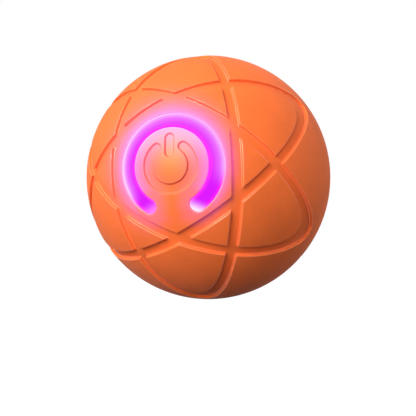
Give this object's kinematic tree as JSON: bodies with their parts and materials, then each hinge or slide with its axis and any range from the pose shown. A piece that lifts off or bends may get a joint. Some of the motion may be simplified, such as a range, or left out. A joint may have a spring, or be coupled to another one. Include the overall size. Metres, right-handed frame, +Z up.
{
  "type": "self rolling cat ball",
  "caption": "Self rolling cat ball: soft grooved orange covers, a lit power button, a charging port, and a geared motor that swings a heavy half ring inside so that it rolls.",
  "frame": {"origin": "centre of the ball", "axes": "+Z up at rest; the power button faces -Y and the charging port +Y; the ball rolls about the Y axis; +X is to the right of someone who looks at the button"},
  "size_m": [0.0598, 0.0597, 0.0598],
  "materials": {
    "orange_silicone": "matt soft orange silicone with a fine grain",
    "light_ring_lens": "frosted clear plastic lit purple from behind",
    "white_shell": "moulded warm white plastic",
    "dark_gasket": "matt black rubber",
    "grey_frame": "moulded dark grey plastic",
    "white_gear": "smooth ivory gear plastic",
    "green_board": "green solder mask",
    "black_plastic": "moulded black plastic",
    "grey_plastic": "moulded grey plastic",
    "led_body": "small clear-topped light, lit purple",
    "red_sleeve": "red lead sleeve",
    "black_sleeve": "black lead sleeve",
    "battery_foil": "dull silver pouch foil",
    "zinc_weight": "plain die-cast metal",
    "brass_parts": "turned brass",
    "arm_steel": "stamped steel",
    "steel_parts": "plated steel"
  },
  "bodies": {
    "ball": {"battery_cell": "battery_foil", "battery_lead_black": "black_sleeve", "battery_lead_red": "red_sleeve", "board_screw_1": "steel_parts", "board_screw_2": "steel_parts", "board_screw_3": "steel_parts", "bridge_bush": "brass_parts", "bridge_screw_1": "steel_parts", "bridge_screw_2": "steel_parts", "charge_board": "green_board", "charge_lead_black": "black_sleeve", "charge_lead_red": "red_sleeve", "charge_screw_1": "steel_parts", "charge_screw_2": "steel_parts", "charge_socket": "steel_parts", "chassis": "grey_frame", "chassis_screw_1": "steel_parts", "chassis_screw_2": "steel_parts", "chassis_screw_3": "steel_parts", "circuit_board": "green_board", "control_chip": "black_plastic", "front_cover": "orange_silicone", "front_shell": "white_shell", "gear_plate": "grey_frame", "gear_spindle": "steel_parts", "led_1": "led_body", "led_2": "led_body", "led_3": "led_body", "led_4": "led_body", "led_5": "led_body", "led_6": "led_body", "light_ring": "light_ring_lens", "motion_sensor": "grey_plastic", "motor_can": "steel_parts", "motor_end_cap": "black_plastic", "motor_lead_black": "black_sleeve", "motor_lead_red": "red_sleeve", "rear_cover": "orange_silicone", "rear_shell": "white_shell", "shaft_bridge": "grey_frame", "shell_gasket": "dark_gasket", "shell_screw_1": "steel_parts", "shell_screw_2": "steel_parts", "shell_screw_3": "steel_parts", "socket_tongue": "black_plastic", "switch_body": "black_plastic"},
    "button": {"power_button": "orange_silicone"},
    "switch_plunger": {"switch_stem": "grey_plastic"},
    "swing": {"output_shaft": "steel_parts", "output_gear": "white_gear", "swing_arm": "arm_steel", "swing_weight": "zinc_weight", "weight_screw_1": "steel_parts", "weight_screw_2": "steel_parts"},
    "third_gear": {"third_gear": "white_gear"},
    "second_gear": {"second_gear": "white_gear"},
    "first_gear": {"first_gear": "white_gear"},
    "motor_rotor": {"motor_rotor": "steel_parts", "motor_pinion": "brass_parts"}
  },
  "joints": [
    {"name": "button_press", "type": "hinge", "parent": "ball", "child": "button", "pos_m": [0, -0.0269, -0.01135], "axis": [-1, 0, 0], "range_deg": [0, 1.2], "stiffness_Nm_per_rad": 4},
    {"name": "plunger_slide", "type": "slide", "parent": "ball", "child": "switch_plunger", "axis": [0, 1, 0], "range_m": [0, 0.00024]},
    {"name": "weight_swing", "type": "hinge", "parent": "ball", "child": "swing", "pos_m": [0, 0, 0], "axis": [0, 1, 0], "continuous": true},
    {"name": "third_gear_turn", "type": "hinge", "parent": "ball", "child": "third_gear", "pos_m": [0, 0, 0.0064], "axis": [0, 1, 0], "continuous": true},
    {"name": "second_gear_turn", "type": "hinge", "parent": "ball", "child": "second_gear", "pos_m": [0, 0, 0], "axis": [0, 1, 0], "continuous": true},
    {"name": "first_gear_turn", "type": "hinge", "parent": "ball", "child": "first_gear", "pos_m": [0, 0, 0.0064], "axis": [0, 1, 0], "continuous": true},
    {"name": "motor_turn", "type": "hinge", "parent": "ball", "child": "motor_rotor", "pos_m": [0, 0, 0], "axis": [0, 1, 0], "continuous": true}
  ],
  "couplings": [
    {"joint": "plunger_slide", "follows": "button_press", "m_per_rad": 0.01135},
    {"joint": "third_gear_turn", "follows": "weight_swing", "ratio": -3},
    {"joint": "second_gear_turn", "follows": "weight_swing", "ratio": 9},
    {"joint": "first_gear_turn", "follows": "weight_swing", "ratio": -27},
    {"joint": "motor_turn", "follows": "weight_swing", "ratio": 81}
  ]
}
